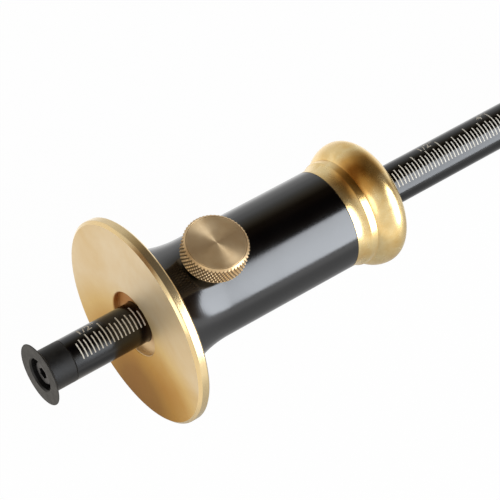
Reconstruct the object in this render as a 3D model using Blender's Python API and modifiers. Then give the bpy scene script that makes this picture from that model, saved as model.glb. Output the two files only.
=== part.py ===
"""Wheel marking gauge: a graduated rod with a cutting wheel, sliding in a clamped head.

The rod lies along X with its cutting wheel at the low end, and the thumbscrew stands up
along Z. Every place along the rod is measured from the flat front face of the fence disc,
then shifted so that the origin lies in the middle of the bottom of the whole gauge.
"""
import math

import bmesh
import bpy
from mathutils import Matrix

# Fits: the gap left between pieces that touch, how far a cut passes a face, and how
# close two corners lie when they are one.
SEAT_GAP = 0.0003
OVERRUN = 0.0010
WELD_DISTANCE = 0.000001

# Rod
ROD_RADIUS = 0.00386
ROD_FRONT = -0.0141
ROD_LENGTH = 0.1846
ROD_CHAMFER = 0.0004
ROD_SCREW_HOLE_DEPTH = 0.0085

# Cutting wheel: a sharp flange on a hub of the rod's own diameter
WHEEL_LENGTH = 0.00535
WHEEL_EDGE_RADIUS = 0.00583
WHEEL_EDGE_LAND = 0.00010
WHEEL_BEVEL_LENGTH = 0.00075
WHEEL_BEVEL_FOOT = 0.00050
WHEEL_COUNTERBORE_RADIUS = 0.00305
WHEEL_COUNTERBORE_DEPTH = 0.00320

# Screw that holds the wheel: a socket cap screw
SCREW_HEAD_RADIUS = 0.00225
SCREW_HEAD_HEIGHT = 0.00250
SCREW_SHANK_RADIUS = 0.00125
SCREW_SHANK_LENGTH = 0.0080
SCREW_SOCKET_FLATS = 0.0020
SCREW_SOCKET_DEPTH = 0.0012
SCREW_CHAMFER = 0.00025

# Fence disc, with a spigot that fills the mouth of the barrel
FENCE_THICKNESS = 0.0022
FENCE_RADIUS = 0.0197
FENCE_FACE_RADIUS = 0.01775
FENCE_BEVEL_DEPTH = 0.0007
FENCE_BACK_EDGE = 0.0003
FENCE_RECESS_RADIUS = 0.0062
FENCE_RECESS_DEPTH = 0.0011
FENCE_RECESS_EDGE = 0.0002

# Spigots of the fence disc and of the end cap, both of one size, inside the barrel's wall
BARREL_MOUTH_WALL = 0.0017
SPIGOT_LENGTH = 0.0066

# Friction rings round the rod, one behind each spigot
RING_WIRE_RADIUS = 0.00070

# Barrel: a cylinder with a flared mouth
BARREL_RADIUS = 0.0097
BARREL_END = 0.0426
FLARE_START = 0.0147
FLARE_ARC_RADIUS = 0.0227

# End cap: a collar that swells into a round bulb
CAP_CREASE_PLACE = 0.0453
CAP_CREASE_RISE = 0.0006
CAP_COVE_POWER = 3.3
BULB_RISE = 0.00246
BULB_PLACE = 0.05043
BULB_FRONT_LENGTH = 0.00419
BULB_FRONT_DROP = 0.00328
BULB_REAR_LENGTH = 0.00353
BULB_REAR_DROP = 0.00482

# Thumbscrew: a knurled head on a threaded shank with a dog point
KNOB_PLACE = 0.01526
KNOB_STANDOFF = 0.0009
KNOB_HEIGHT = 0.00405
KNOB_RADIUS = 0.0060
KNOB_FACE_RADIUS = 0.00543
KNOB_CHAMFER = 0.00055
KNOB_FOOT_CHAMFER = 0.00035
SHANK_RADIUS = 0.0025
DOG_RADIUS = 0.0010

# Swivelling shoe on the dog point, which bears on the rod
SHOE_RADIUS = 0.0022
SHOE_HEIGHT = 0.0016
SHOE_SOCKET_DEPTH = 0.0009

# Threaded insert that carries the thumbscrew in the barrel wall
INSERT_WALL = 0.0011
INSERT_FLOOR_WALL = 0.0009

# Sides of the round pieces, and the steps of their curved outlines. The fence disc has
# fewer, so that the flat it rests on is wide enough to keep the gauge from rolling.
SIDES = 48
FENCE_SIDES = 32
SMALL_SIDES = 24
RING_SIDES = 8
FLARE_STEPS = 7
COVE_STEPS = 3
BULB_STEPS = 7

# Places worked out from the sizes above
BORE_RADIUS = ROD_RADIUS + SEAT_GAP
SCREW_HOLE_RADIUS = SCREW_SHANK_RADIUS + SEAT_GAP
ROD_REAR = ROD_FRONT + ROD_LENGTH
WHEEL_REAR = ROD_FRONT - SEAT_GAP
WHEEL_FACE = ROD_FRONT - WHEEL_LENGTH
SPIGOT_HOLE_RADIUS = BARREL_RADIUS - BARREL_MOUTH_WALL
SPIGOT_RADIUS = SPIGOT_HOLE_RADIUS - SEAT_GAP
RING_CENTRE_RADIUS = BORE_RADIUS + RING_WIRE_RADIUS
RING_SEAT_RADIUS = RING_CENTRE_RADIUS + RING_WIRE_RADIUS + SEAT_GAP
RING_SEAT_LENGTH = 2 * (RING_WIRE_RADIUS + SEAT_GAP)
BARREL_FRONT = FENCE_THICKNESS + SEAT_GAP
BARREL_REAR = BARREL_END - SEAT_GAP
FRONT_SPIGOT_END = FENCE_THICKNESS + SPIGOT_LENGTH
REAR_SPIGOT_END = BARREL_END - SPIGOT_LENGTH
FRONT_SHOULDER = FRONT_SPIGOT_END + SEAT_GAP
REAR_SHOULDER = REAR_SPIGOT_END - SEAT_GAP
FRONT_RING_PLACE = FRONT_SPIGOT_END + RING_SEAT_LENGTH / 2
REAR_RING_PLACE = REAR_SPIGOT_END - RING_SEAT_LENGTH / 2
SHOE_BOTTOM = ROD_RADIUS + SEAT_GAP
SHOE_TOP = SHOE_BOTTOM + SHOE_HEIGHT
SHANK_BOTTOM = SHOE_TOP + SEAT_GAP
DOG_BOTTOM = SHOE_TOP - SHOE_SOCKET_DEPTH + SEAT_GAP
INSERT_RADIUS = SHANK_RADIUS + SEAT_GAP + INSERT_WALL
INSERT_HOLE_RADIUS = INSERT_RADIUS + SEAT_GAP
INSERT_TOP = math.sqrt(BARREL_RADIUS ** 2 - INSERT_HOLE_RADIUS ** 2)
INSERT_SHOULDER = BORE_RADIUS + INSERT_FLOOR_WALL
INSERT_BOTTOM = INSERT_SHOULDER + SEAT_GAP
SHOE_HOLE_RADIUS = SHOE_RADIUS + SEAT_GAP
KNOB_UNDERSIDE = BARREL_RADIUS + KNOB_STANDOFF
KNOB_TOP = KNOB_UNDERSIDE + KNOB_HEIGHT
CAP_CREASE_RADIUS = BARREL_RADIUS + CAP_CREASE_RISE
BULB_RADIUS = BARREL_RADIUS + BULB_RISE

# The disc's sides lie evenly about its true round rim: the corners out, the flats in
FENCE_FLAT_SHARE = math.cos(math.pi / FENCE_SIDES)
FENCE_CORNER_RADIUS = 2 * FENCE_RADIUS / (1 + FENCE_FLAT_SHARE)

# The origin: half way along the gauge, on the flat that the disc rests on
MIDDLE = (WHEEL_FACE + ROD_REAR) / 2
AXIS_HEIGHT = FENCE_CORNER_RADIUS * FENCE_FLAT_SHARE


def clear_scene():
    """Remove whatever the scene holds."""
    for old in list(bpy.data.objects):
        bpy.data.objects.remove(old, do_unlink=True)


def new_collection(name):
    """Make a collection in the scene."""
    collection = bpy.data.collections.new(name)
    bpy.context.scene.collection.children.link(collection)
    return collection


def add_object(name, data, collection, parent):
    """Put a mesh or an empty in a collection, under its parent."""
    thing = bpy.data.objects.new(name, data)
    thing.parent = parent
    collection.objects.link(thing)
    return thing


def turned_piece(name, outline, sides, collection, parent):
    """Turn a closed outline of (along, radius) points round the local Z axis.

    The outline runs down its outer side, from the top to the bottom. Half a step of
    turn puts a flat side, and not a corner, at the bottom of each round piece.
    """
    mesh = bpy.data.meshes.new(name)
    shape = bmesh.new()
    corners = [shape.verts.new((radius, 0, along)) for along, radius in outline]
    for first, second in zip(corners, corners[1:] + corners[:1]):
        shape.edges.new((first, second))
    half_step = Matrix.Rotation(math.pi / sides, 4, "Z")
    bmesh.ops.transform(shape, matrix=half_step, verts=shape.verts)
    shape.to_mesh(mesh)
    shape.free()
    piece = add_object(name, mesh, collection, parent)
    screw = piece.modifiers.new("Turn", "SCREW")
    screw.axis = "Z"
    screw.steps = sides
    screw.render_steps = sides
    screw.use_merge_vertices = True
    screw.merge_threshold = WELD_DISTANCE
    screw.use_smooth_shade = False
    return piece


def solid_turned_piece(name, outline, sides, collection, parent):
    """Turn an open outline that starts and ends on the axis, and keep it as a mesh.

    The two ends lie on the axis, where the turned corners are welded to one point.
    """
    mesh = bpy.data.meshes.new(name)
    shape = bmesh.new()
    corners = [shape.verts.new((radius, 0, along)) for along, radius in outline]
    edges = [shape.edges.new(pair) for pair in zip(corners, corners[1:])]
    half_step = Matrix.Rotation(math.pi / sides, 4, "Z")
    bmesh.ops.transform(shape, matrix=half_step, verts=shape.verts)
    bmesh.ops.spin(
        shape,
        geom=corners + edges,
        axis=(0, 0, 1),
        cent=(0, 0, 0),
        angle=2 * math.pi,
        steps=sides,
        use_merge=True,
    )
    bmesh.ops.remove_doubles(shape, verts=shape.verts, dist=WELD_DISTANCE)
    bmesh.ops.recalc_face_normals(shape, faces=shape.faces)
    shape.to_mesh(mesh)
    shape.free()
    return add_object(name, mesh, collection, parent)


def cutter(name, radius, bottom, top, sides, collection, parent):
    """Make an upright round or many-sided cutter from one height to another."""
    mesh = bpy.data.meshes.new(name)
    shape = bmesh.new()
    bmesh.ops.create_cone(
        shape,
        cap_ends=True,
        segments=sides,
        radius1=radius,
        radius2=radius,
        depth=top - bottom,
        matrix=Matrix.Translation((0, 0, (top + bottom) / 2)),
    )
    shape.to_mesh(mesh)
    shape.free()
    tool = add_object(name, mesh, collection, parent)
    tool.hide_render = True
    tool.display_type = "WIRE"
    return tool


def cut(piece, tool):
    """Take a cutter's shape out of a piece."""
    boolean = piece.modifiers.new("Cut " + tool.name, "BOOLEAN")
    boolean.operation = "DIFFERENCE"
    boolean.object = tool


def finish(piece, colour, roughness, metallic):
    """Give a piece its own material and its smooth shading."""
    material = bpy.data.materials.new(piece.name)
    material.use_nodes = True
    shader = material.node_tree.nodes["Principled BSDF"]
    shader.inputs["Base Color"].default_value = (*colour, 1)
    shader.inputs["Roughness"].default_value = roughness
    shader.inputs["Metallic"].default_value = metallic
    piece.data.materials.append(material)
    piece.data.shade_smooth()
    piece.data.set_sharp_from_angle(angle=math.radians(30))


def frames(collection):
    """Make the empties that carry the rod's axis and the thumbscrew's axis.

    The rod axis empty turns its local Z along +X, so that pieces turned round Z lie
    along the rod, and its origin is on the axis in the plane of the fence's face.
    """
    rod_axis = add_object("rod_axis", None, collection, None)
    rod_axis.location = (-MIDDLE, 0, AXIS_HEIGHT)
    rod_axis.rotation_euler = (0, math.pi / 2, 0)
    knob_axis = add_object("knob_axis", None, collection, None)
    knob_axis.location = (KNOB_PLACE - MIDDLE, 0, AXIS_HEIGHT)
    return rod_axis, knob_axis


def graduated_rod(parts, rod_axis):
    """The round rod, with a threaded hole in its front end for the wheel's screw."""
    outline = [
        (ROD_REAR, 0),
        (ROD_REAR, ROD_RADIUS - ROD_CHAMFER),
        (ROD_REAR - ROD_CHAMFER, ROD_RADIUS),
        (ROD_FRONT, ROD_RADIUS),
        (ROD_FRONT, SCREW_HOLE_RADIUS),
        (ROD_FRONT + ROD_SCREW_HOLE_DEPTH, SCREW_HOLE_RADIUS),
        (ROD_FRONT + ROD_SCREW_HOLE_DEPTH, 0),
    ]
    rod = solid_turned_piece("graduated_rod", outline, SIDES, parts, rod_axis)
    finish(rod, (0.012, 0.012, 0.014), 0.25, 0.0)


def cutting_wheel(parts, rod_axis):
    """The hardened wheel: its edge lies in the outer face, bevelled on the rod side."""
    bevel_start = WHEEL_FACE + WHEEL_EDGE_LAND
    bevel_end = bevel_start + WHEEL_BEVEL_LENGTH
    counterbore_floor = WHEEL_FACE + WHEEL_COUNTERBORE_DEPTH
    outline = [
        (WHEEL_REAR, SCREW_HOLE_RADIUS),
        (WHEEL_REAR, ROD_RADIUS),
        (bevel_end, ROD_RADIUS),
        (bevel_end, ROD_RADIUS + WHEEL_BEVEL_FOOT),
        (bevel_start, WHEEL_EDGE_RADIUS),
        (WHEEL_FACE, WHEEL_EDGE_RADIUS),
        (WHEEL_FACE, WHEEL_COUNTERBORE_RADIUS),
        (counterbore_floor, WHEEL_COUNTERBORE_RADIUS),
        (counterbore_floor, SCREW_HOLE_RADIUS),
    ]
    wheel = turned_piece("cutting_wheel", outline, SIDES, parts, rod_axis)
    finish(wheel, (0.055, 0.052, 0.05), 0.5, 0.6)


def wheel_screw(parts, cutters, rod_axis):
    """The socket cap screw, with its head sunk in the wheel's counterbore."""
    head_rear = WHEEL_FACE + WHEEL_COUNTERBORE_DEPTH - SEAT_GAP
    head_front = head_rear - SCREW_HEAD_HEIGHT
    shank_end = head_rear + SCREW_SHANK_LENGTH
    outline = [
        (shank_end, 0),
        (shank_end, SCREW_SHANK_RADIUS - SCREW_CHAMFER),
        (shank_end - SCREW_CHAMFER, SCREW_SHANK_RADIUS),
        (head_rear, SCREW_SHANK_RADIUS),
        (head_rear, SCREW_HEAD_RADIUS),
        (head_front + SCREW_CHAMFER, SCREW_HEAD_RADIUS),
        (head_front, SCREW_HEAD_RADIUS - SCREW_CHAMFER),
        (head_front, 0),
    ]
    screw = solid_turned_piece("wheel_screw", outline, SMALL_SIDES, parts, rod_axis)
    socket_radius = SCREW_SOCKET_FLATS / 2 / math.cos(math.pi / 6)
    socket_floor = head_front + SCREW_SOCKET_DEPTH
    socket = cutter(
        "socket_cutter", socket_radius, head_front - OVERRUN, socket_floor, 6, cutters, rod_axis
    )
    cut(screw, socket)
    finish(screw, (0.05, 0.05, 0.055), 0.35, 0.8)


def fence_disc(parts, rod_axis):
    """The brass disc, dished for the wheel and bored for the rod, with its spigot."""
    outline = [
        (FRONT_SPIGOT_END, BORE_RADIUS),
        (FRONT_SPIGOT_END, SPIGOT_RADIUS),
        (FENCE_THICKNESS, SPIGOT_RADIUS),
        (FENCE_THICKNESS, FENCE_CORNER_RADIUS - FENCE_BACK_EDGE),
        (FENCE_THICKNESS - FENCE_BACK_EDGE, FENCE_CORNER_RADIUS),
        (FENCE_BEVEL_DEPTH, FENCE_CORNER_RADIUS),
        (0, FENCE_FACE_RADIUS),
        (0, FENCE_RECESS_RADIUS + FENCE_RECESS_EDGE),
        (FENCE_RECESS_EDGE, FENCE_RECESS_RADIUS),
        (FENCE_RECESS_DEPTH, FENCE_RECESS_RADIUS),
        (FENCE_RECESS_DEPTH, BORE_RADIUS),
    ]
    disc = turned_piece("fence_disc", outline, FENCE_SIDES, parts, rod_axis)
    finish(disc, (0.65, 0.48, 0.24), 0.28, 1.0)


def flare_radius(along):
    """Radius of the barrel at a place along it: a round arc that opens to the mouth."""
    if along >= FLARE_START:
        return BARREL_RADIUS
    reach = FLARE_START - along
    return BARREL_RADIUS + FLARE_ARC_RADIUS - math.sqrt(FLARE_ARC_RADIUS ** 2 - reach ** 2)


def barrel(parts, cutters, rod_axis, knob_axis):
    """The black barrel, bored for the rod, the spigots, the rings and the thumbscrew."""
    front_seat_end = FRONT_SPIGOT_END + RING_SEAT_LENGTH
    rear_seat_end = REAR_SPIGOT_END - RING_SEAT_LENGTH
    flare = []
    for step in range(FLARE_STEPS + 1):
        along = FLARE_START + (BARREL_FRONT - FLARE_START) * step / FLARE_STEPS
        flare.append((along, flare_radius(along)))
    outline = [
        (BARREL_REAR, SPIGOT_HOLE_RADIUS),
        (BARREL_REAR, BARREL_RADIUS),
        *flare,
        (BARREL_FRONT, SPIGOT_HOLE_RADIUS),
        (FRONT_SHOULDER, SPIGOT_HOLE_RADIUS),
        (FRONT_SHOULDER, RING_SEAT_RADIUS),
        (front_seat_end, RING_SEAT_RADIUS),
        (front_seat_end, BORE_RADIUS),
        (rear_seat_end, BORE_RADIUS),
        (rear_seat_end, RING_SEAT_RADIUS),
        (REAR_SHOULDER, RING_SEAT_RADIUS),
        (REAR_SHOULDER, SPIGOT_HOLE_RADIUS),
    ]
    body = turned_piece("barrel", outline, SIDES, parts, rod_axis)
    insert_cutter = cutter(
        "insert_cutter",
        INSERT_HOLE_RADIUS,
        INSERT_SHOULDER,
        BARREL_RADIUS + OVERRUN,
        SMALL_SIDES,
        cutters,
        knob_axis,
    )
    shoe_cutter = cutter(
        "shoe_cutter", SHOE_HOLE_RADIUS, 0, INSERT_TOP, SMALL_SIDES, cutters, knob_axis
    )
    cut(body, insert_cutter)
    cut(body, shoe_cutter)
    finish(body, (0.01, 0.01, 0.012), 0.12, 0.0)


def end_cap(parts, rod_axis):
    """The brass end cap: a spigot, a coved collar and a round bulb."""
    rear_face = BULB_PLACE + BULB_REAR_LENGTH
    bulb = []
    for step in range(BULB_STEPS + 1):
        turn = math.pi / 2 * step / BULB_STEPS
        along = BULB_PLACE + BULB_REAR_LENGTH * math.cos(turn)
        drop = BULB_REAR_DROP * (1 - math.sin(turn))
        bulb.append((along, BULB_RADIUS - drop))
    front_reach = (BULB_PLACE - CAP_CREASE_PLACE) / BULB_FRONT_LENGTH
    for step in range(1, BULB_STEPS + 1):
        turn = math.pi / 2 * step / BULB_STEPS
        along = BULB_PLACE - BULB_FRONT_LENGTH * math.sin(turn)
        drop = BULB_FRONT_DROP * (1 - math.cos(turn))
        if BULB_RADIUS - drop > CAP_CREASE_RADIUS:
            bulb.append((along, BULB_RADIUS - drop))
    cove = []
    for step in range(COVE_STEPS + 1):
        share = 1 - step / COVE_STEPS
        along = BARREL_END + (CAP_CREASE_PLACE - BARREL_END) * share
        rise = (CAP_CREASE_RADIUS - BARREL_RADIUS) * share ** CAP_COVE_POWER
        cove.append((along, BARREL_RADIUS + rise))
    outline = [
        (rear_face, BORE_RADIUS),
        *bulb,
        *cove,
        (BARREL_END, SPIGOT_RADIUS),
        (REAR_SPIGOT_END, SPIGOT_RADIUS),
        (REAR_SPIGOT_END, BORE_RADIUS),
    ]
    cap = turned_piece("end_cap", outline, SIDES, parts, rod_axis)
    finish(cap, (0.62, 0.42, 0.18), 0.3, 1.0)


def friction_ring(name, place, parts, rod_axis):
    """A rubber ring round the rod, which gives the rod its drag."""
    outline = []
    for side in range(RING_SIDES):
        turn = math.pi * (0.5 - (2 * side + 1) / RING_SIDES)
        along = place + RING_WIRE_RADIUS * math.sin(turn)
        outline.append((along, RING_CENTRE_RADIUS + RING_WIRE_RADIUS * math.cos(turn)))
    ring = turned_piece(name, outline, SIDES, parts, rod_axis)
    finish(ring, (0.02, 0.02, 0.02), 0.7, 0.0)


def thumbscrew(parts, knob_axis):
    """The brass thumbscrew: a chamfered head, its shank and a dog point."""
    outline = [
        (KNOB_TOP, 0),
        (KNOB_TOP, KNOB_FACE_RADIUS),
        (KNOB_TOP - KNOB_CHAMFER, KNOB_RADIUS),
        (KNOB_UNDERSIDE + KNOB_FOOT_CHAMFER, KNOB_RADIUS),
        (KNOB_UNDERSIDE, KNOB_RADIUS - KNOB_FOOT_CHAMFER),
        (KNOB_UNDERSIDE, SHANK_RADIUS),
        (SHANK_BOTTOM, SHANK_RADIUS),
        (SHANK_BOTTOM, DOG_RADIUS),
        (DOG_BOTTOM, DOG_RADIUS),
        (DOG_BOTTOM, 0),
    ]
    screw = solid_turned_piece("thumbscrew", outline, SIDES, parts, knob_axis)
    finish(screw, (0.62, 0.43, 0.2), 0.3, 1.0)


def clamp_shoe(parts, knob_axis):
    """The brass shoe that swivels on the screw's point and presses on the rod."""
    socket_radius = DOG_RADIUS + SEAT_GAP
    socket_floor = SHOE_TOP - SHOE_SOCKET_DEPTH
    outline = [
        (socket_floor, 0),
        (socket_floor, socket_radius),
        (SHOE_TOP, socket_radius),
        (SHOE_TOP, SHOE_RADIUS),
        (SHOE_BOTTOM, SHOE_RADIUS),
        (SHOE_BOTTOM, 0),
    ]
    shoe = solid_turned_piece("clamp_shoe", outline, SMALL_SIDES, parts, knob_axis)
    finish(shoe, (0.6, 0.42, 0.2), 0.35, 1.0)


def thread_insert(parts, knob_axis):
    """The steel bush in the barrel wall that the thumbscrew is threaded through."""
    outline = [
        (INSERT_TOP, SHANK_RADIUS + SEAT_GAP),
        (INSERT_TOP, INSERT_RADIUS),
        (INSERT_BOTTOM, INSERT_RADIUS),
        (INSERT_BOTTOM, SHANK_RADIUS + SEAT_GAP),
    ]
    insert = turned_piece("thread_insert", outline, SMALL_SIDES, parts, knob_axis)
    finish(insert, (0.35, 0.34, 0.33), 0.4, 1.0)


def main():
    clear_scene()
    parts = new_collection("wheel_marking_gauge")
    cutters = new_collection("cutters")
    rod_axis, knob_axis = frames(parts)
    graduated_rod(parts, rod_axis)
    cutting_wheel(parts, rod_axis)
    wheel_screw(parts, cutters, rod_axis)
    fence_disc(parts, rod_axis)
    barrel(parts, cutters, rod_axis, knob_axis)
    end_cap(parts, rod_axis)
    friction_ring("front_friction_ring", FRONT_RING_PLACE, parts, rod_axis)
    friction_ring("rear_friction_ring", REAR_RING_PLACE, parts, rod_axis)
    thumbscrew(parts, knob_axis)
    clamp_shoe(parts, knob_axis)
    thread_insert(parts, knob_axis)
    bpy.context.view_layer.update()


main()
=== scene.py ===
import math

import bmesh
import bpy
from mathutils import Matrix, Vector


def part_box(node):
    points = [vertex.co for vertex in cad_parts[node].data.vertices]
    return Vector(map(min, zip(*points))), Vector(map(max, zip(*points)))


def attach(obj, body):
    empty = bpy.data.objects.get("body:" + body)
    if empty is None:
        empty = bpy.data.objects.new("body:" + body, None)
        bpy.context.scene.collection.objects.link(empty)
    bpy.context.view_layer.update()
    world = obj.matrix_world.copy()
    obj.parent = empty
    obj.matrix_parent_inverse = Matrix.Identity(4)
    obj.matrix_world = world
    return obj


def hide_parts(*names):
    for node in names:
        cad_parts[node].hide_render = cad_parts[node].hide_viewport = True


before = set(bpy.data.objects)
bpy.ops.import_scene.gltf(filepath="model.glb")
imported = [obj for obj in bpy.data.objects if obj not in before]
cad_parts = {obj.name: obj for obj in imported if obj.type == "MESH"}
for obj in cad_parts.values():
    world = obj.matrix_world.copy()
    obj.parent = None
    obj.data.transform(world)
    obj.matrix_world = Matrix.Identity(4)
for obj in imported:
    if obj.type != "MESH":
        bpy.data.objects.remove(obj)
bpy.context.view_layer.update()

# The gauge's own measure. Along the rod, places are in millimetres from the flat face of
# the fence disc, towards the end cap. Outwards, they are radii from the rod's axis.
fence_low, fence_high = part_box("fence_disc")
axis_height = (fence_low.z + fence_high.z) / 2
millimetre = 0.001
gauge_to_frame = Matrix.Translation((fence_low.x, 0, axis_height)) @ Matrix.Scale(millimetre, 4)


# Graduated rod. A ground steel rod, blackened and polished, with its ends chamfered. The
# wheel is screwed to its front end. It slides and turns in the head.
def rounded(corners, steps=4):
    """Round the corners of an outline of (along, radius, rounding), and hold its flats flat.

    A point is set close to each end of a long flat, so that smooth shading stays true there.
    """
    outline = []
    for before, here, after in zip(corners[-1:] + corners[:-1], corners, corners[1:] + corners[:1]):
        point = Vector(here[:2])
        rounding = here[2]
        to_before = Vector(before[:2]) - point
        to_after = Vector(after[:2]) - point
        if rounding == 0 or to_before.length == 0 or to_after.length == 0:
            outline.append(point)
            continue
        half_angle = to_before.angle(to_after) / 2
        reach = min(rounding / math.tan(half_angle), to_before.length / 2.1, to_after.length / 2.1)
        start = point + to_before.normalized() * reach
        end = point + to_after.normalized() * reach
        for step in range(steps + 1):
            share = step / steps
            bend = start.lerp(point, share)
            outline.append(bend.lerp(point.lerp(end, share), share))
    held = []
    hold = 0.04
    long_run = 8 * hold
    for here, after in zip(outline, outline[1:] + outline[:1]):
        held.append(here)
        run = after - here
        if run.length > long_run:
            held.append(here + run.normalized() * hold)
            held.append(after - run.normalized() * hold)
    return held


def finish_mesh(name, shape, sharp_angle=35):
    """Turn a bmesh into a smooth-shaded object that lies in the frame."""
    bmesh.ops.remove_doubles(shape, verts=shape.verts, dist=0.0005)
    bmesh.ops.recalc_face_normals(shape, faces=shape.faces)
    bmesh.ops.transform(shape, matrix=gauge_to_frame, verts=shape.verts)
    mesh = bpy.data.meshes.new(name)
    shape.to_mesh(mesh)
    shape.free()
    mesh.shade_smooth()
    mesh.set_sharp_from_angle(angle=math.radians(sharp_angle))
    piece = bpy.data.objects.new(name, mesh)
    bpy.context.scene.collection.objects.link(piece)
    return piece


def lathe(outline, steps, centre=(0, 0, 0), axis=(1, 0, 0)):
    """Turn an outline of (along, radius) round the rod's axis, or round an upright one.

    An outline whose ends lie on the axis is left open there. Any other is closed.
    """
    shape = bmesh.new()
    upright = axis[2] == 1
    corners = []
    for along, radius in outline:
        place = (radius, 0, along) if upright else (along, 0, radius)
        corners.append(shape.verts.new(Vector(place) + Vector(centre)))
    edges = [shape.edges.new(pair) for pair in zip(corners, corners[1:])]
    if outline[0][1] > 0 or outline[-1][1] > 0:
        edges.append(shape.edges.new((corners[-1], corners[0])))
    bmesh.ops.spin(
        shape, geom=corners + edges, axis=axis, cent=centre, angle=2 * math.pi, steps=steps, use_merge=True
    )
    return shape


def linear(hex_colour):
    """Turn an sRGB hex colour into the linear values that a shader takes."""
    channels = [int(hex_colour[place : place + 2], 16) / 255 for place in (1, 3, 5)]
    bright = [c / 12.92 if c <= 0.04045 else ((c + 0.055) / 1.055) ** 2.4 for c in channels]
    return (*bright, 1)


def add(tree, kind, links=(), stops=(), **settings):
    """Add a node, set its properties and input values, and link other nodes' outputs to it.

    A setting named after an input sets that input. Links are (input, node, output), and the
    stops of a colour ramp are (place, colour).
    """
    made = tree.nodes.new(kind)
    if stops:
        steps = made.color_ramp.elements
        steps.remove(steps[1])
        steps[0].position, steps[0].color = stops[0]
        for place, colour in stops[1:]:
            steps.new(place).color = colour
    for name, value in settings.items():
        if hasattr(made, name):
            setattr(made, name, value)
        else:
            made.inputs[name.replace("_", " ")].default_value = value
    for socket, source, output in links:
        tree.links.new(source.outputs[output], made.inputs[socket])
    return made


def new_material(name):
    """Make a material, and hand back its tree and its Principled shader."""
    material = bpy.data.materials.new(name)
    material.use_nodes = True
    return material, material.node_tree, material.node_tree.nodes["Principled BSDF"]


rod_radius = 3.86
rod_front_edge = 0.12
rod_rear_chamfer = 0.5
rod_low, rod_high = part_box("graduated_rod")
rod_rear = (rod_high.x - fence_low.x) / millimetre
rod_front = (rod_low.x - fence_low.x) / millimetre
rod_outline = rounded(
    [
        (rod_front, 0, 0),
        (rod_front, rod_radius, rod_front_edge),
        (rod_rear - rod_rear_chamfer, rod_radius, 0.1),
        (rod_rear, rod_radius - rod_rear_chamfer, 0.1),
        (rod_rear, 0, 0),
    ]
)
rod = finish_mesh("rod", lathe(rod_outline, 128))


def black_polish(name, deep, worn, roughness, ior, wear_scale_mm, scratch_scale_mm):
    """Polished black metal: near black, with faint smears in its gloss and drawn scratches.

    The scratches are wider than real ones, so that they show.
    """
    material, tree, shader = new_material(name)
    shader.inputs["IOR"].default_value = ior
    place = add(tree, "ShaderNodeTexCoord")
    smears = add(
        tree, "ShaderNodeTexNoise", [("Vector", place, "Object")],
        Scale=1 / (wear_scale_mm * millimetre), Detail=4.0, Roughness=0.6,
    )
    stretched = add(
        tree, "ShaderNodeMapping", [("Vector", place, "Object")], Scale=(0.08, 1.0, 1.0)
    )
    scratches = add(
        tree, "ShaderNodeTexNoise", [("Vector", stretched, "Vector")],
        Scale=1 / (scratch_scale_mm * millimetre), Detail=3.0, Roughness=0.7,
    )
    colour = add(
        tree, "ShaderNodeValToRGB", [("Fac", smears, "Fac")],
        [(0.35, linear(deep)), (0.75, linear(worn))],
    )
    gloss = add(
        tree, "ShaderNodeMapRange", [("Value", smears, "Fac")],
        **{"From Min": 0.3, "From Max": 0.75, "To Min": roughness * 0.8, "To Max": roughness * 1.35},
    )
    bump = add(
        tree, "ShaderNodeBump", [("Height", scratches, "Fac")], Strength=0.05, Distance=0.00002
    )
    tree.links.new(colour.outputs["Color"], shader.inputs["Base Color"])
    tree.links.new(gloss.outputs["Result"], shader.inputs["Roughness"])
    tree.links.new(bump.outputs["Normal"], shader.inputs["Normal"])
    return material, shader


# Steel blacked in a hot bath and polished: a dark mirror, a little smeared by hands, with
# fine scratches drawn along the rod.
rod_black, shader = black_polish("blackened_polished_steel", "#040404", "#0A0A0B", 0.16, 1.52, 6.0, 0.5)
rod.data.materials.append(rod_black)
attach(rod, "rod")
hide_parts("graduated_rod")


# Inch scale. Fine lines cut round a part of the rod and filled with pale paint, one every
# 1/32 inch from the wheel's outer face, longer at each coarser step, with inch figures.
wheel_face = -19.45
scale_step = 25.4 / 32
first_mark = 9
last_mark = 5 * 32
line_width = 0.24
line_proud = 0.012
line_sunk = 0.05

# Angles round the rod, in degrees from its top: where every line starts, and where it ends
# when its count divides by a number.
line_foot = -39.8
line_tops = [(32, 42.6), (16, 33.0), (8, 26.0), (4, 18.6), (2, 12.0), (1, 5.0)]


def scale_line(shape, along, low, high):
    """One filled line: a thin bar bent round the rod, from one angle to another."""
    inner = rod_radius - line_sunk
    outer = rod_radius + line_proud
    half = line_width / 2
    corners = [(along - half, inner), (along - half, outer), (along + half, outer), (along + half, inner)]
    start = math.radians(low)
    section = [
        shape.verts.new((x, radius * math.sin(start), radius * math.cos(start))) for x, radius in corners
    ]
    face = shape.faces.new(section)
    bmesh.ops.spin(
        shape, geom=[face], axis=(-1, 0, 0), cent=(0, 0, 0),
        angle=math.radians(high - low), steps=max(6, round((high - low) / 5)),
    )


lines = bmesh.new()
for count in range(first_mark, last_mark + 1):
    top = next(high for divisor, high in line_tops if count % divisor == 0)
    scale_line(lines, wheel_face + count * scale_step, line_foot, top)
scale_lines = finish_mesh("scale_lines", lines)

figure_height = 1.55
figure_foot = 24.5
figure_sunk = 0.03
figure_weight = 0.012
figure_squeeze = 1.12
figure_gap = 0.42
strip_height = 0.15
type_size_to_height = 1.38


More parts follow.
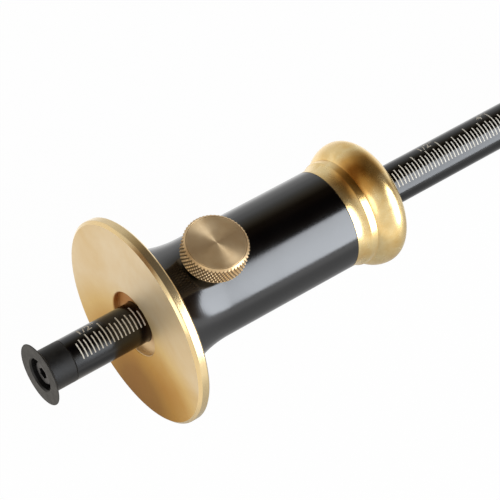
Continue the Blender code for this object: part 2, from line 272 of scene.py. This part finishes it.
def scale_figure(words, end):
    """A figure of the scale, bent round the rod so that it ends short of its own line.

    It is cut into narrow strips first, because a flat letter can't bend between its points.
    """
    curve = bpy.data.curves.new("figure", "FONT")
    curve.body = words
    curve.size = figure_height * type_size_to_height
    curve.extrude = figure_sunk
    curve.offset = figure_weight
    curve.resolution_u = 3
    thing = bpy.data.objects.new("figure", curve)
    bpy.context.scene.collection.objects.link(thing)
    bpy.context.view_layer.update()
    mesh = bpy.data.meshes.new_from_object(thing.evaluated_get(bpy.context.evaluated_depsgraph_get()))
    bpy.data.objects.remove(thing)
    shape = bmesh.new()
    shape.from_mesh(mesh)
    bpy.data.meshes.remove(mesh)
    for strip in range(-4, 14):
        bmesh.ops.bisect_plane(
            shape, geom=shape.verts[:] + shape.edges[:] + shape.faces[:],
            plane_co=(0, strip * strip_height, 0), plane_no=(0, 1, 0),
        )
    right = max(corner.co.x for corner in shape.verts)
    for corner in shape.verts:
        along = end + (corner.co.x - right) * figure_squeeze
        turn = math.radians(figure_foot) + corner.co.y / rod_radius
        radius = rod_radius + corner.co.z - figure_sunk + line_proud
        corner.co = (along, radius * math.sin(turn), radius * math.cos(turn))
    return shape


figures = bmesh.new()
for half_inch in range(1, 11):
    words = '1/2"' if half_inch % 2 else f'{half_inch // 2}"'
    mark = wheel_face + half_inch * 16 * scale_step
    figure = scale_figure(words, mark - figure_gap)
    loose = bpy.data.meshes.new("loose")
    figure.to_mesh(loose)
    figure.free()
    figures.from_mesh(loose)
    bpy.data.meshes.remove(loose)
scale_figures = finish_mesh("scale_figures", figures)

# Enamel wiped into the cuts: off-white and matt, with a grain of dirt rubbed into it.
scale_paint, tree, shader = new_material("pale_filling_paint")
place = add(tree, "ShaderNodeTexCoord")
grain = add(
    tree, "ShaderNodeTexNoise", [("Vector", place, "Object")], Scale=1 / (0.35 * millimetre), Detail=3.0
)
colour = add(
    tree, "ShaderNodeValToRGB", [("Fac", grain, "Fac")],
    [(0.3, linear("#C4BEAE")), (0.6, linear("#E4E0D4"))],
)
tree.links.new(colour.outputs["Color"], shader.inputs["Base Color"])
shader.inputs["Roughness"].default_value = 0.6
for piece in (scale_lines, scale_figures):
    piece.data.materials.append(scale_paint)
    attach(piece, "rod")


# Cutting wheel. Hardened steel with a dull black oxide skin: a thin flange ground to a sharp
# edge in the plane of its outer face, on a hub as thick as the rod, sunk for its screw.
wheel_rear = rod_front - 0.03
wheel_edge = 5.83
wheel_land = 0.12
flange_thickness = 0.85
flange_step = 0.5
shank_hole = 1.4
sink_chamfer = 0.22
sink_radius = 3.05
sink_floor = wheel_face + 3.2
wheel_outline = rounded(
    [
        (wheel_rear, shank_hole, 0),
        (wheel_rear, rod_radius, 0.15),
        (wheel_face + flange_thickness, rod_radius, 0.1),
        (wheel_face + flange_thickness, rod_radius + flange_step, 0.1),
        (wheel_face + wheel_land, wheel_edge, 0.03),
        (wheel_face, wheel_edge - 0.05, 0.05),
        (wheel_face, sink_radius + sink_chamfer, 0.12),
        (wheel_face + 0.3, sink_radius, 0.1),
        (sink_floor, sink_radius, 0.05),
        (sink_floor, shank_hole, 0),
    ]
)
wheel = finish_mesh("wheel", lathe(wheel_outline, 128))

# Tool steel with an oiled black oxide: nearly no gloss, blotched a little by the hardening,
# and with a fine tooth that catches light at the edges.
oxide, tree, shader = new_material("black_oxide_tool_steel")
shader.inputs["Specular IOR Level"].default_value = 0.42
place = add(tree, "ShaderNodeTexCoord")
blotches = add(
    tree, "ShaderNodeTexNoise", [("Vector", place, "Object")],
    Scale=1 / (1.6 * millimetre), Detail=6.0, Roughness=0.65,
)
grit = add(
    tree, "ShaderNodeTexNoise", [("Vector", place, "Object")], Scale=1 / (0.12 * millimetre), Detail=2.0
)
colour = add(
    tree, "ShaderNodeValToRGB", [("Fac", blotches, "Fac")],
    [(0.3, linear("#171717")), (0.7, linear("#242322"))],
)
dull = add(
    tree, "ShaderNodeMapRange", [("Value", blotches, "Fac")],
    **{"From Min": 0.3, "From Max": 0.7, "To Min": 0.38, "To Max": 0.55},
)
bump = add(tree, "ShaderNodeBump", [("Height", grit, "Fac")], Strength=0.25, Distance=0.00002)
tree.links.new(colour.outputs["Color"], shader.inputs["Base Color"])
tree.links.new(dull.outputs["Result"], shader.inputs["Roughness"])
tree.links.new(bump.outputs["Normal"], shader.inputs["Normal"])
shader.inputs["Metallic"].default_value = 0.3
wheel.data.materials.append(oxide)
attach(wheel, "wheel")
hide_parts("cutting_wheel")


# Wheel screw. A small socket cap screw of alloy steel, blackened, its head sunk in the
# wheel's face and its shank threaded into the rod's end.
head_rear = sink_floor - 0.02
head_front = head_rear - 2.5
head_radius = 2.25
shank_radius = 1.25
shank_length = 8
socket_flats = 2.0
socket_depth = 1.2
screw_outline = rounded(
    [
        (head_front, 0, 0),
        (head_front, head_radius, 0.3),
        (head_rear, head_radius, 0.05),
        (head_rear, shank_radius, 0.05),
        (head_rear + shank_length, shank_radius, 0.2),
        (head_rear + shank_length, 0, 0),
    ]
)
wheel_screw = finish_mesh("socket_screw", lathe(screw_outline, 64))
socket = bmesh.new()
socket_radius = socket_flats / 2 / math.cos(math.pi / 6)
bmesh.ops.create_cone(
    socket, cap_ends=True, segments=6, radius1=socket_radius, radius2=socket_radius, depth=2 * socket_depth,
    matrix=Matrix.Translation((head_front, 0, 0)) @ Matrix.Rotation(math.pi / 2, 4, "Y"),
)
socket_tool = finish_mesh("socket_tool", socket)


def cut_out(piece, tool):
    """Cut a tool's shape out of a piece, keep the result as the piece's mesh, and drop the tool."""
    boolean = piece.modifiers.new("cut", "BOOLEAN")
    boolean.operation = "DIFFERENCE"
    boolean.object = tool
    bpy.context.view_layer.update()
    graph = bpy.context.evaluated_depsgraph_get()
    cut_mesh = bpy.data.meshes.new_from_object(piece.evaluated_get(graph))
    piece.modifiers.clear()
    cut_mesh.shade_smooth()
    cut_mesh.set_sharp_from_angle(angle=math.radians(35))
    piece.data = cut_mesh
    bpy.data.objects.remove(tool)


cut_out(wheel_screw, socket_tool)

# Alloy steel blackened as bought: a dark grey gleam, lighter in flecks where handling wore it.
alloy, tree, shader = new_material("blackened_alloy_steel")
place = add(tree, "ShaderNodeTexCoord")
flecks = add(
    tree, "ShaderNodeTexNoise", [("Vector", place, "Object")], Scale=1 / (0.4 * millimetre), Detail=4.0
)
colour = add(
    tree, "ShaderNodeValToRGB", [("Fac", flecks, "Fac")],
    [(0.3, linear("#242325")), (0.7, linear("#3C3B3E"))],
)
tree.links.new(colour.outputs["Color"], shader.inputs["Base Color"])
shader.inputs["Roughness"].default_value = 0.32
shader.inputs["Metallic"].default_value = 0.8
wheel_screw.data.materials.clear()
wheel_screw.data.materials.append(alloy)
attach(wheel_screw, "rod")
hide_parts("wheel_screw")


# Fence disc. Brass, turned on the lathe to a satin face with a bright bevel and rim. A
# shallow recess takes the wheel, and a spigot behind it fills the barrel's mouth.
disc_radius = 19.7
disc_face_radius = 19.15
disc_bevel = 0.5
disc_back_edge = 0.35
disc_thickness = 2.2
recess_edge = 0.2
recess_radius = 6.2
recess_depth = 1.1
bore_radius = rod_radius + 0.06
spigot_end = 8.8
spigot_radius = 7.7
disc_outline = rounded(
    [
        (0, recess_radius + recess_edge, 0.12),
        (recess_edge, recess_radius, 0.1),
        (recess_depth, recess_radius, 0.05),
        (recess_depth, bore_radius, 0.05),
        (spigot_end, bore_radius, 0.05),
        (spigot_end, spigot_radius, 0.1),
        (disc_thickness, spigot_radius, 0.05),
        (disc_thickness, disc_radius - disc_back_edge, 0.2),
        (disc_thickness - disc_back_edge, disc_radius, 0.25),
        (disc_bevel, disc_radius, 0.25),
        (0, disc_face_radius, 0.2),
    ]
)
disc = finish_mesh("disc", lathe(disc_outline, 256))


def turned_brass(name, pale, deep, roughness, anisotropy, blotch_mm, groove_mm, centre, upright=False):
    """Turned brass: fine tool marks round the piece's axis, and slight tarnish in soft blotches.

    A film of tarnish scatters a little brown light, so the shader is not quite all metal.
    The tool marks run round the axis, and their way at each place is the axis crossed with
    the reach. They stretch a reflection across themselves, so the grain is a quarter turn on.
    Real tool marks are under 0.1 mm apart, and these are coarser, so that they show.
    """
    material, tree, shader = new_material(name)
    place = add(tree, "ShaderNodeTexCoord")
    centred = add(
        tree, "ShaderNodeVectorMath", [(0, place, "Object")], operation="SUBTRACT"
    )
    centred.inputs[1].default_value = gauge_to_frame @ Vector(centre)
    apart = add(tree, "ShaderNodeSeparateXYZ", [("Vector", centred, "Vector")])
    axis = add(tree, "ShaderNodeVectorMath", [(1, centred, "Vector")], operation="CROSS_PRODUCT")
    axis.inputs[0].default_value = (0, 0, 1) if upright else (1, 0, 0)
    tree.links.new(axis.outputs["Vector"], shader.inputs["Tangent"])
    first, second = ("X", "Y") if upright else ("Y", "Z")
    reach = add(tree, "ShaderNodeCombineXYZ", [("X", apart, first), ("Y", apart, second)])
    radius = add(tree, "ShaderNodeVectorMath", [(0, reach, "Vector")], operation="LENGTH")
    along = "Z" if upright else "X"
    lane = add(tree, "ShaderNodeCombineXYZ", [("X", radius, "Value"), ("Y", apart, along)])
    marks = add(
        tree, "ShaderNodeTexNoise", [("Vector", lane, "Vector")],
        Scale=1 / (groove_mm * millimetre), Detail=3.0, Roughness=0.7,
    )
    tarnish = add(
        tree, "ShaderNodeTexNoise", [("Vector", place, "Object")],
        Scale=1 / (blotch_mm * millimetre), Detail=5.0, Roughness=0.6, Distortion=0.4,
    )
    colour = add(
        tree, "ShaderNodeValToRGB", [("Fac", tarnish, "Fac")],
        [(0.3, linear(deep)), (0.62, linear(pale))],
    )
    both = add(
        tree, "ShaderNodeMath", [(0, marks, "Fac"), (1, tarnish, "Fac")], operation="ADD"
    )
    dull = add(
        tree, "ShaderNodeMapRange", [("Value", both, "Value")],
        **{"From Min": 0.7, "From Max": 1.3, "To Min": roughness * 0.85, "To Max": roughness * 1.2},
    )
    bump = add(tree, "ShaderNodeBump", [("Height", marks, "Fac")], Strength=0.12, Distance=0.00002)
    tree.links.new(colour.outputs["Color"], shader.inputs["Base Color"])
    tree.links.new(dull.outputs["Result"], shader.inputs["Roughness"])
    tree.links.new(bump.outputs["Normal"], shader.inputs["Normal"])
    shader.inputs["Metallic"].default_value = 0.86
    shader.inputs["Anisotropic"].default_value = anisotropy
    shader.inputs["Anisotropic Rotation"].default_value = 0.25
    return material, tree, shader, colour, radius


# The disc's face is satin and its edge and recess are bright. The lower part of the face is painted browner
# and darker: a painted shade that stands for the reflection of the gauge's shadow on the table. The recess
# is painted browner and darker towards its upper side.
disc_brass, tree, shader, colour, radius = turned_brass(
    "satin_turned_brass", "#E9D7B6", "#E0C593", 0.5, 0.0, 14.0, 0.25, (0, 0, 0)
)
on_face = add(tree, "ShaderNodeMath", [(0, radius, "Value")], operation="LESS_THAN")
on_face.inputs[1].default_value = disc_face_radius * millimetre
in_recess = add(tree, "ShaderNodeMath", [(0, radius, "Value")], operation="LESS_THAN")
in_recess.inputs[1].default_value = (recess_radius + 0.1) * millimetre
place = add(tree, "ShaderNodeTexCoord")
# Painted shade: the face's colour is darkened and browned towards a point below the rod, for the reflected
# shadow on the table.
painted_shade_middle = (0, -6, -16)
painted_shade_size = 26
painted_shade_reach = add(tree, "ShaderNodeVectorMath", [(0, place, "Object")], operation="DISTANCE")
painted_shade_reach.inputs[1].default_value = gauge_to_frame @ Vector(painted_shade_middle)
painted_shade_share = add(
    tree, "ShaderNodeMapRange", [("Value", painted_shade_reach, "Value")], **{"From Max": painted_shade_size * millimetre}
)
painted_shade = add(
    tree, "ShaderNodeValToRGB", [("Fac", painted_shade_share, "Result")],
    [
        (0.22, linear("#AD8630")), (0.42, linear("#CEA850")), (0.6, linear("#E2C581")),
        (0.72, linear("#F7EABF")), (0.95, linear("#FFFFFF")),
    ],
)
shaded_face = add(
    tree, "ShaderNodeMix", [(0, on_face, "Value"), (6, colour, "Color"), (7, painted_shade, "Color")],
    data_type="RGBA", blend_type="MULTIPLY",
)
polished = add(tree, "ShaderNodeMix", [(0, on_face, "Value"), (7, shaded_face, 2)], data_type="RGBA")
polished.inputs[6].default_value = linear("#E9CF9C")
# The recess colour turns browner and darker the further it lies from the painted shade's middle, so darker
# towards its upper side.
recess_brown = add(
    tree, "ShaderNodeValToRGB", [("Fac", painted_shade_share, "Result")],
    [(0.55, linear("#E3C79A")), (0.75, linear("#B98245"))],
)
browned = add(
    tree, "ShaderNodeMix", [(0, in_recess, "Value"), (6, polished, 2), (7, recess_brown, "Color")],
    data_type="RGBA",
)
satin = add(
    tree, "ShaderNodeMapRange", [("Value", on_face, "Value")], **{"To Min": 0.2, "To Max": 0.5}
)
tree.links.new(browned.outputs[2], shader.inputs["Base Color"])
tree.links.new(satin.outputs["Result"], shader.inputs["Roughness"])
disc.data.materials.append(disc_brass)
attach(disc, "head")
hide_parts("fence_disc")


# Barrel. Aluminium tube with thick walls, turned with a flared mouth, then anodised a deep
# glossy black. A hole in its top takes the insert that the thumbscrew runs in.
barrel_radius = 9.7
barrel_front = disc_thickness + 0.03
barrel_rear = 42.57
flare_start = 14.7
flare_arc = 22.7
flare_steps = 24
flare = []
for step in range(flare_steps + 1):
    along = barrel_front + (flare_start - barrel_front) * step / flare_steps
    reach = flare_start - along
    flare.append((along, barrel_radius + flare_arc - math.sqrt(flare_arc**2 - reach**2), 0))
barrel_outline = rounded(
    [
        (barrel_rear, spigot_radius + 0.1, 0),
        (barrel_front, spigot_radius + 0.1, 0),
        *flare,
        (barrel_rear, barrel_radius, 0.12),
    ]
)
barrel = finish_mesh("barrel_shell", lathe(barrel_outline, 256))
knob_place = 15.26
insert_hole = 4.2
insert_drill = 8
insert_height = 9.2
hole = bmesh.new()
bmesh.ops.create_cone(
    hole, cap_ends=True, segments=96, radius1=insert_hole, radius2=insert_hole, depth=insert_drill,
    matrix=Matrix.Translation((knob_place, 0, insert_height)),
)
cut_out(barrel, finish_mesh("hole_tool", hole))

# Polished aluminium, anodised and dyed black: a deep clean mirror with wide faint smears.
anodised, shader = black_polish("black_anodised_aluminium", "#030303", "#060607", 0.15, 1.7, 14.0, 0.6)
barrel.data.materials.clear()
barrel.data.materials.append(anodised)
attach(barrel, "head")
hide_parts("barrel")


# End cap. Brass, turned to a short coved collar that swells into a round bulb, and rubbed
# to a soft gleam that keeps faint flats and tarnish. It is screwed into the barrel's end.
cap_front = 42.6
crease_place = 45.3
crease_radius = 10.3
cove_power = 3.3
bulb_radius = 12.16
bulb_place = 50.43
bulb_front_length = 4.19
bulb_front_drop = 3.28
bulb_rear_length = 3.53
bulb_rear_drop = 4.82
cap_rear = bulb_place + bulb_rear_length
cap_corners = [(cap_rear, bore_radius, 0.05)]
cap_steps = 28
for step in range(cap_steps + 1):
    turn = math.pi / 2 * step / cap_steps
    along = bulb_place + bulb_rear_length * math.cos(turn)
    cap_corners.append((along, bulb_radius - bulb_rear_drop * (1 - math.sin(turn)), 0))
for step in range(1, cap_steps + 1):
    turn = math.pi / 2 * step / cap_steps
    along = bulb_place - bulb_front_length * math.sin(turn)
    radius = bulb_radius - bulb_front_drop * (1 - math.cos(turn))
    if radius > crease_radius:
        cap_corners.append((along, radius, 0))
cove_steps = 16
for step in range(cove_steps + 1):
    share = 1 - step / cove_steps
    along = cap_front + (crease_place - cap_front) * share
    cap_corners.append((along, barrel_radius + (crease_radius - barrel_radius) * share**cove_power, 0))
cap_corners.append((cap_front, spigot_radius - 0.1, 0))
cap_corners.append((cap_front, bore_radius, 0))
cap = finish_mesh("cap", lathe(rounded(cap_corners), 256))

# Brass that hands have rubbed bright: a soft golden mirror, with a painted brown patch on the top of the
# bulb, a painted reflection of the room's dark beam.
cap_brass, tree, shader, colour, radius = turned_brass(
    "rubbed_brass", "#F8DFA6", "#EBC47B", 0.25, 0.1, 4.0, 1.6, (0, 0, 0)
)
place = add(tree, "ShaderNodeTexCoord")
# Painted reflection: the colour is darkened and browned round a point on the top of the bulb.
dark_reflection_middle = (47.3, 0.4, 11.2)
dark_reflection_size = 6.5
dark_reflection_reach = add(tree, "ShaderNodeVectorMath", [(0, place, "Object")], operation="DISTANCE")
dark_reflection_reach.inputs[1].default_value = gauge_to_frame @ Vector(dark_reflection_middle)
dark_reflection_share = add(
    tree, "ShaderNodeMapRange", [("Value", dark_reflection_reach, "Value")], **{"From Max": dark_reflection_size * millimetre}
)
dark_reflection = add(
    tree, "ShaderNodeValToRGB", [("Fac", dark_reflection_share, "Result")],
    [(0.25, linear("#C49E61")), (0.55, linear("#E5CBA0")), (0.85, linear("#FFFFFF"))],
)
reflection_darkened = add(
    tree, "ShaderNodeMix", [(6, colour, "Color"), (7, dark_reflection, "Color")],
    data_type="RGBA", blend_type="MULTIPLY",
)
reflection_darkened.inputs[0].default_value = 1
tree.links.new(reflection_darkened.outputs[2], shader.inputs["Base Color"])
cap.data.materials.append(cap_brass)
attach(cap, "head")
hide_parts("end_cap")


# Thumbscrew. Brass: a round head with a diamond knurl rolled into its side, a bright
# chamfer and a finely faced top, on a threaded shank that ends in a dog point.
knob_top = 14.65
knob_underside = 10.6
knob_radius = 6.0
knob_face = 5.43
knob_chamfer = 0.55
foot_chamfer = 0.35
knurl_count = 54
knurl_depth = 0.28
knurl_row = 1.2
shank_bottom = 6.06
dog_radius = 1.0
dog_bottom = 5.16
knurl_steps = 8
knurl_around = knurl_steps * knurl_count
knurl_rows = round((knob_top - knob_underside) / knurl_row * knurl_steps)
side = [
    (knob_underside + (knob_top - knob_underside) * row / knurl_rows, knob_radius)
    for row in range(knurl_rows, -1, -1)
]
groove_radius = knob_face - 0.1
groove_depth = 0.08
face_outline = [
    (knob_top, 0),
    (knob_top, groove_radius - 0.12),
    (knob_top, groove_radius - groove_depth),
    (knob_top - groove_depth, groove_radius),
    (knob_top, groove_radius + 0.06),
]
thread_radius = 2.5
thread_chamfer = 0.3
dog_chamfer = 0.15
shank_outline = [
    (knob_underside, thread_radius),
    (shank_bottom + thread_chamfer, thread_radius),
    (shank_bottom, thread_radius - thread_chamfer),
    (shank_bottom, dog_radius),
    (dog_bottom + dog_chamfer, dog_radius),
    (dog_bottom, dog_radius - dog_chamfer),
    (dog_bottom, 0),
]
knob_shape = lathe(
    [*face_outline, *side, *shank_outline], knurl_around, centre=(knob_place, 0, 0), axis=(0, 0, 1)
)


def saw(value):
    """Rise from nought at a whole number to one half way to the next, and fall again."""
    return 1 - abs(2 * (value % 1) - 1)


# The knurl is pressed in by moving the side's points, and each point keeps how deep it lies.
sunk = knob_shape.verts.layers.float.new("sunk")
for corner in knob_shape.verts:
    x = corner.co.x - knob_place
    y = corner.co.y
    radius = math.hypot(x, y)
    if abs(radius - groove_radius) < 0.01:
        corner[sunk] = 1
    if radius < knob_radius - 0.001:
        continue
    around = math.atan2(y, x) / (2 * math.pi) * knurl_count
    up = (corner.co.z - knob_underside) / knurl_row
    height = min(saw(around + up), saw(around - up))
    knurled = knob_radius - knurl_depth * (1 - height)
    top_cone = knob_face + (knob_top - corner.co.z) * (knob_radius - knob_face) / knob_chamfer
    foot_cone = knob_radius - foot_chamfer + (corner.co.z - knob_underside)
    wanted = min(knurled, top_cone, foot_cone)
    corner[sunk] = 1 - height if wanted == knurled else 0
    corner.co.x = knob_place + x * wanted / radius
    corner.co.y = y * wanted / radius
knob = finish_mesh("knob", knob_shape, 25)

# Brass faced off on the lathe: fine rings that spread a reflection into a star. The knurl and the groove
# round the face are drawn dark, partly by grime settled there and partly by painted shade in the grooves.
knob_brass, tree, shader, colour, radius = turned_brass(
    "faced_brass", "#F6DAAE", "#EECB98", 0.47, 0.8, 5.0, 0.12, (knob_place, 0, 0), upright=True
)
# Grime and painted shade: the deeper a point lies in the knurl or in the face's groove, the darker its
# colour.
depth = add(tree, "ShaderNodeAttribute", attribute_name="sunk")
grime_and_shade = add(
    tree, "ShaderNodeMapRange", [("Value", depth, "Fac")],
    **{"From Min": 0.35, "From Max": 0.95, "To Min": 0.0, "To Max": 0.9},
)
grime_and_shade_mix = add(tree, "ShaderNodeMix", [(0, grime_and_shade, "Result"), (6, colour, "Color")], data_type="RGBA")
grime_and_shade_mix.inputs[7].default_value = linear("#3E2510")
tree.links.new(grime_and_shade_mix.outputs[2], shader.inputs["Base Color"])
knob.data.materials.append(knob_brass)
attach(knob, "knob")
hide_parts("thumbscrew")


# Pieces inside the head. The two rubber rings, the brass shoe under the screw's point and
# the steel insert keep their plain shapes, because only the insert's top can be seen.

# Moulded nitrile rubber is a soft black with a dull grey bloom. Plain turned steel is a pale
# grey metal, a little stained by cutting oil.
rubber, tree, shader = new_material("black_nitrile_rubber")
place = add(tree, "ShaderNodeTexCoord")
bloom = add(
    tree, "ShaderNodeTexNoise", [("Vector", place, "Object")], Scale=1 / (1.2 * millimetre), Detail=3.0
)
colour = add(
    tree, "ShaderNodeValToRGB", [("Fac", bloom, "Fac")],
    [(0.3, linear("#141414")), (0.7, linear("#232323"))],
)
tree.links.new(colour.outputs["Color"], shader.inputs["Base Color"])
shader.inputs["Roughness"].default_value = 0.7
steel, tree, shader = new_material("plain_turned_steel")
place = add(tree, "ShaderNodeTexCoord")
oiled = add(
    tree, "ShaderNodeTexNoise", [("Vector", place, "Object")], Scale=1 / (0.8 * millimetre), Detail=4.0
)
colour = add(
    tree, "ShaderNodeValToRGB", [("Fac", oiled, "Fac")],
    [(0.3, linear("#8D8A86")), (0.7, linear("#B4B1AC"))],
)
tree.links.new(colour.outputs["Color"], shader.inputs["Base Color"])
shader.inputs["Roughness"].default_value = 0.35
shader.inputs["Metallic"].default_value = 1
inside = {
    "front_friction_ring": rubber,
    "rear_friction_ring": rubber,
    "clamp_shoe": cap_brass,
    "thread_insert": steel,
}
for name, material in inside.items():
    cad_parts[name].data.materials.clear()
    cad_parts[name].data.materials.append(material)


# Floor. A plain white table that the gauge lies on. The camera sees it near white with the gauge's shadow,
# and the metal sees a glow painted with how bright the table is lit from place to place, with painted shade
# beside the gauge.
floor_size = 6.0
floor_drop = 0.0002
shape = bmesh.new()
bmesh.ops.create_grid(shape, x_segments=1, y_segments=1, size=floor_size / 2)
bmesh.ops.translate(shape, verts=shape.verts, vec=(0, 0, -floor_drop))
floor_mesh = bpy.data.meshes.new("floor")
shape.to_mesh(floor_mesh)
shape.free()
floor = bpy.data.objects.new("floor", floor_mesh)
bpy.context.scene.collection.objects.link(floor)
floor_white, tree, shader = new_material("white_table")
shader.inputs["Base Color"].default_value = linear("#E6E6E6")
shader.inputs["Roughness"].default_value = 0.9
shader.inputs["Specular IOR Level"].default_value = 0
place = add(tree, "ShaderNodeTexCoord")
apart = add(tree, "ShaderNodeSeparateXYZ", [("Vector", place, "Object")])
across = add(
    tree, "ShaderNodeMapRange", [("Value", apart, "Y")],
    **{"From Min": -100 * millimetre, "From Max": 100 * millimetre},
)

# Painted light and shade of the table's glow across the gauge, from the window's side to the far side.
side_levels = [
    (0.0, 0.77), (0.2, 0.46), (0.3, 0.385), (0.42, 0.31), (0.45, 0.4), (0.55, 0.65),
    (0.6, 0.69), (0.66, 0.96), (0.78, 0.77), (0.95, 0.62),
]
side_light = add(
    tree, "ShaderNodeValToRGB", [("Fac", across, "Result")],
    [(spot, (level, level, level, 1)) for spot, level in side_levels],
)
# In front of the disc the glow is painted one even warm level.
behind_disc = add(
    tree, "ShaderNodeMapRange", [("Value", apart, "X")],
    **{"From Min": fence_low.x - 12 * millimetre, "From Max": fence_low.x + 4 * millimetre},
)
table_levels = add(
    tree, "ShaderNodeMix", [(0, behind_disc, "Result"), (7, side_light, "Color")], data_type="RGBA"
)
table_levels.inputs[6].default_value = (0.78, 0.74, 0.68, 1)
table_light = add(tree, "ShaderNodeEmission", [("Color", table_levels, 2)], Strength=1.3)
paths = add(tree, "ShaderNodeLightPath")
metal_sees = add(
    tree, "ShaderNodeMixShader",
    [(0, paths, "Is Glossy Ray"), (1, shader, "BSDF"), (2, table_light, "Emission")],
)
white = add(tree, "ShaderNodeEmission", Strength=1.0)
white.inputs["Color"].default_value = (1, 1, 1, 1)
camera_share = add(tree, "ShaderNodeMath", [(0, paths, "Is Camera Ray")], operation="MULTIPLY")
camera_share.inputs[1].default_value = 0.98
seen = add(
    tree, "ShaderNodeMixShader",
    [(0, camera_share, "Value"), (1, metal_sees, "Shader"), (2, white, "Emission")],
)
tree.links.new(seen.outputs["Shader"], tree.nodes["Material Output"].inputs["Surface"])
floor_white.cycles.emission_sampling = "NONE"
floor.data.materials.append(floor_white)


# Studio. One large soft box stands beyond the cap on the near side and a small one before the
# disc. The room is pale low down and dark overhead, with a dark beam from there to the disc's
# side, so the black barrel shows a clean band of light and the brass has its brown shades.
def soft_box(name, aim, way, distance, width, height, radiance, colour):
    """An oval soft light that faces the gauge from a given way, its width level."""
    light = bpy.data.lights.new(name, "AREA")
    light.shape = "ELLIPSE"
    light.size = width
    light.size_y = height
    oval_area = math.pi / 4 * width * height
    light.energy = radiance * math.pi * oval_area
    light.color = colour
    lamp = bpy.data.objects.new(name, light)
    way = Vector(way).normalized()
    level = (Vector((1, 0, 0)) - way * way.x).normalized()
    upward = way.cross(level)
    turned = Matrix((level, upward, way)).transposed().to_4x4()
    lamp.matrix_world = Matrix.Translation(Vector(aim) + way * distance) @ turned
    bpy.context.scene.collection.objects.link(lamp)


head_middle = gauge_to_frame @ Vector((25, 0, 0))
soft_box("window", head_middle, (0.581, -0.69, 0.431), 0.7, 0.42, 0.88, 6.4, (0.88, 0.93, 1.0))
soft_box("fill", head_middle, (-0.88, -0.32, 0.34), 0.7, 0.4, 0.36, 1.8, (1.0, 0.98, 0.94))

world = bpy.data.worlds.new("studio")
bpy.context.scene.world = world
world.use_nodes = True
tree = world.node_tree
tree.nodes.clear()
place = add(tree, "ShaderNodeTexCoord")
dark_ceiling = Vector((0.425, 0.17, 0.889)).normalized()
facing = add(tree, "ShaderNodeVectorMath", [(0, place, "Generated")], operation="DOT_PRODUCT")
facing.inputs[1].default_value = dark_ceiling
room_levels = [
    (0.0, (0.8, 0.8, 0.8, 1)), (0.36, (0.7, 0.7, 0.7, 1)), (0.5, (0.68, 0.68, 0.68, 1)),
    (0.63, (0.46, 0.45, 0.42, 1)), (0.74, (0.34, 0.3, 0.24, 1)), (0.84, (0.17, 0.13, 0.08, 1)),
    (0.9, (0.045, 0.027, 0.013, 1)),
]
room = add(tree, "ShaderNodeValToRGB", [("Fac", facing, "Value")], room_levels)
beam_side = Vector((0.349, 0.876, -0.334)).normalized()
off_beam = add(tree, "ShaderNodeVectorMath", [(0, place, "Generated")], operation="DOT_PRODUCT")
off_beam.inputs[1].default_value = beam_side
beam_share = add(
    tree, "ShaderNodeMapRange", [("Value", off_beam, "Value")], **{"From Min": -0.4, "From Max": 0.4}
)
beam_shade = add(
    tree, "ShaderNodeValToRGB", [("Fac", beam_share, "Result")],
    [
        (0.1, (1, 1, 1, 1)), (0.28, (0.3, 0.16, 0.05, 1)), (0.5, (0.16, 0.07, 0.02, 1)),
        (0.68, (0.3, 0.16, 0.05, 1)), (0.9, (1, 1, 1, 1)),
    ],
)
room_light = add(
    tree, "ShaderNodeMix", [(6, room, "Color"), (7, beam_shade, "Color")],
    data_type="RGBA", blend_type="MULTIPLY",
)
room_light.inputs[0].default_value = 1
paths = add(tree, "ShaderNodeLightPath")
lit = add(tree, "ShaderNodeBackground", [("Color", room_light, 2)], Strength=1.0)
plain = add(tree, "ShaderNodeBackground", Strength=1.0)
plain.inputs["Color"].default_value = (1, 1, 1, 1)
shown = add(
    tree, "ShaderNodeMixShader",
    [(0, paths, "Is Camera Ray"), (1, lit, "Background"), (2, plain, "Background")],
)
add(tree, "ShaderNodeOutputWorld", [("Surface", shown, "Shader")])


# Camera. It looks down on the wheel's end of the gauge from beside the thumbscrew.
camera_place = gauge_to_frame @ Vector((-142.12, -136.87, 332.40))
camera_right = Vector((0.79707, -0.58167, 0.16231)).normalized()
camera_ahead = Vector((0.42467, 0.34881, -0.83546)).normalized()
camera_up = camera_right.cross(camera_ahead)
camera_data = bpy.data.cameras.new("camera")
camera_data.sensor_width = 36
camera_data.lens = 159.74
camera_data.clip_start = 0.01
camera = bpy.data.objects.new("camera", camera_data)
turned = Matrix((camera_right, camera_up, -camera_ahead)).transposed().to_4x4()
camera.matrix_world = Matrix.Translation(camera_place) @ turned
bpy.context.scene.collection.objects.link(camera)
bpy.context.scene.camera = camera

bpy.context.scene.view_settings.view_transform = "Standard"
